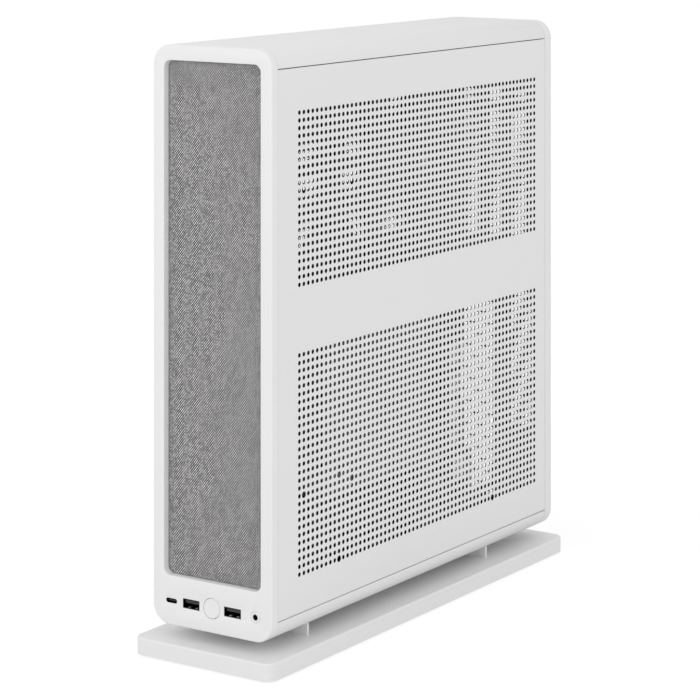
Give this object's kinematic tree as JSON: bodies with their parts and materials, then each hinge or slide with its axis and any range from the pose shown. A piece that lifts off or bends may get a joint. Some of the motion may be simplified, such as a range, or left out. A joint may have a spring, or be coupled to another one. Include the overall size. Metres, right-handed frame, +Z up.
{
  "type": "desktop computer tower",
  "caption": "Slim upright desktop computer case on a foot plate, with perforated side covers, a fabric front, front sockets and a working interior.",
  "frame": {"origin": "on the floor under the middle of the foot plate", "axes": "+Z up, the front faces -Y, +X is the right side seen from the front's own right hand cover"},
  "size_m": [0.11, 0.374, 0.395],
  "materials": {
    "white_shell": "fine satin powder coat",
    "bare_steel": "zinc plated",
    "black_plastic": "moulded",
    "foot_rubber": "soft rubber",
    "white_trim": "fine moulded texture",
    "grey_fabric": "plain woven two-tone",
    "circuit_board": "solder mask",
    "cable_jacket": "black sleeve",
    "black_steel": "black powder coat",
    "psu_grey": "grey powder coat",
    "fan_plastic": "moulded",
    "aluminium_fins": "milled",
    "drive_shell": "anodised"
  },
  "bodies": {
    "case": {"top_shell": "white_shell", "bottom_shell": "white_shell", "rear_frame": "white_shell", "panel_clips": "black_plastic", "foot_plate": "white_shell", "foot_risers": "white_shell", "foot_pads": "foot_rubber", "screws": "bare_steel", "standoffs": "bare_steel", "front_board": "circuit_board", "front_usb_shells": "bare_steel", "front_usb_cores": "black_plastic", "front_jack": "white_trim", "front_cable": "cable_jacket", "cable_plugs": "black_plastic", "button_switch": "black_plastic", "base_plate": "black_steel", "top_plate": "black_steel", "front_wall": "black_steel", "rear_wall": "black_steel", "mid_shelf": "black_steel", "board_tray": "black_steel", "slot_covers": "black_steel", "psu_shelf": "black_steel", "psu_shell": "psu_grey", "psu_cover": "psu_grey", "psu_internals": "circuit_board", "psu_inlet": "black_plastic", "rear_inlet": "black_plastic", "lead_plug": "black_plastic", "mains_lead": "cable_jacket", "power_cables": "cable_jacket", "mainboard": "circuit_board", "board_sockets": "black_plastic", "board_modules": "circuit_board", "io_shield": "bare_steel", "rear_sockets": "bare_steel", "rear_socket_cores": "black_plastic", "cpu_package": "bare_steel", "heatsinks": "aluminium_fins", "drive": "drive_shell", "riser_ribbon": "cable_jacket", "riser_board": "circuit_board", "fan_frames": "fan_plastic", "fan_brackets": "black_steel"},
    "right_cover": {"right_panel": "white_shell", "right_panel_studs": "bare_steel"},
    "left_cover": {"left_panel": "white_shell", "left_panel_studs": "bare_steel"},
    "front_cover": {"front_bezel": "white_trim", "front_fabric": "grey_fabric", "fabric_frame": "black_plastic", "cover_studs": "bare_steel"},
    "power_button": {"power_button": "white_trim"},
    "front_fan": {"front_chamber_rotor": "fan_plastic"},
    "rear_fan": {"rear_chamber_rotor": "fan_plastic"},
    "processor_fan": {"cpu_fan_rotor": "fan_plastic"},
    "supply_fan": {"psu_fan_rotor": "fan_plastic"},
    "supply_switch": {"psu_switch": "black_plastic"}
  },
  "joints": [
    {"name": "right_cover_pull", "type": "slide", "parent": "case", "child": "right_cover", "axis": [1, 0, 0], "range_m": [0, 0.03]},
    {"name": "left_cover_pull", "type": "slide", "parent": "case", "child": "left_cover", "axis": [-1, 0, 0], "range_m": [0, 0.03]},
    {"name": "front_cover_pull", "type": "slide", "parent": "case", "child": "front_cover", "axis": [0, -1, 0], "range_m": [0, 0.03]},
    {"name": "power_button_press", "type": "slide", "parent": "case", "child": "power_button", "axis": [0, 1, 0], "range_m": [0, 0.001], "stiffness_N_per_m": 900, "springref_m": -0.001},
    {"name": "front_fan_spin", "type": "hinge", "parent": "case", "child": "front_fan", "pos_m": [-0.043, -0.0554, 0.2932], "axis": [1, 0, 0], "continuous": true},
    {"name": "rear_fan_spin", "type": "hinge", "parent": "case", "child": "rear_fan", "pos_m": [-0.043, 0.0846, 0.2932], "axis": [1, 0, 0], "continuous": true},
    {"name": "processor_fan_spin", "type": "hinge", "parent": "case", "child": "processor_fan", "pos_m": [-0.0164, 0.0768, 0.126], "axis": [1, 0, 0], "continuous": true},
    {"name": "supply_fan_spin", "type": "hinge", "parent": "case", "child": "supply_fan", "pos_m": [-0.018, -0.0475, 0.148], "axis": [1, 0, 0], "continuous": true},
    {"name": "supply_switch_rock", "type": "hinge", "parent": "case", "child": "supply_switch", "pos_m": [0.0275, 0.014, 0.147], "axis": [1, 0, 0], "range_deg": [-5, 5]}
  ]
}
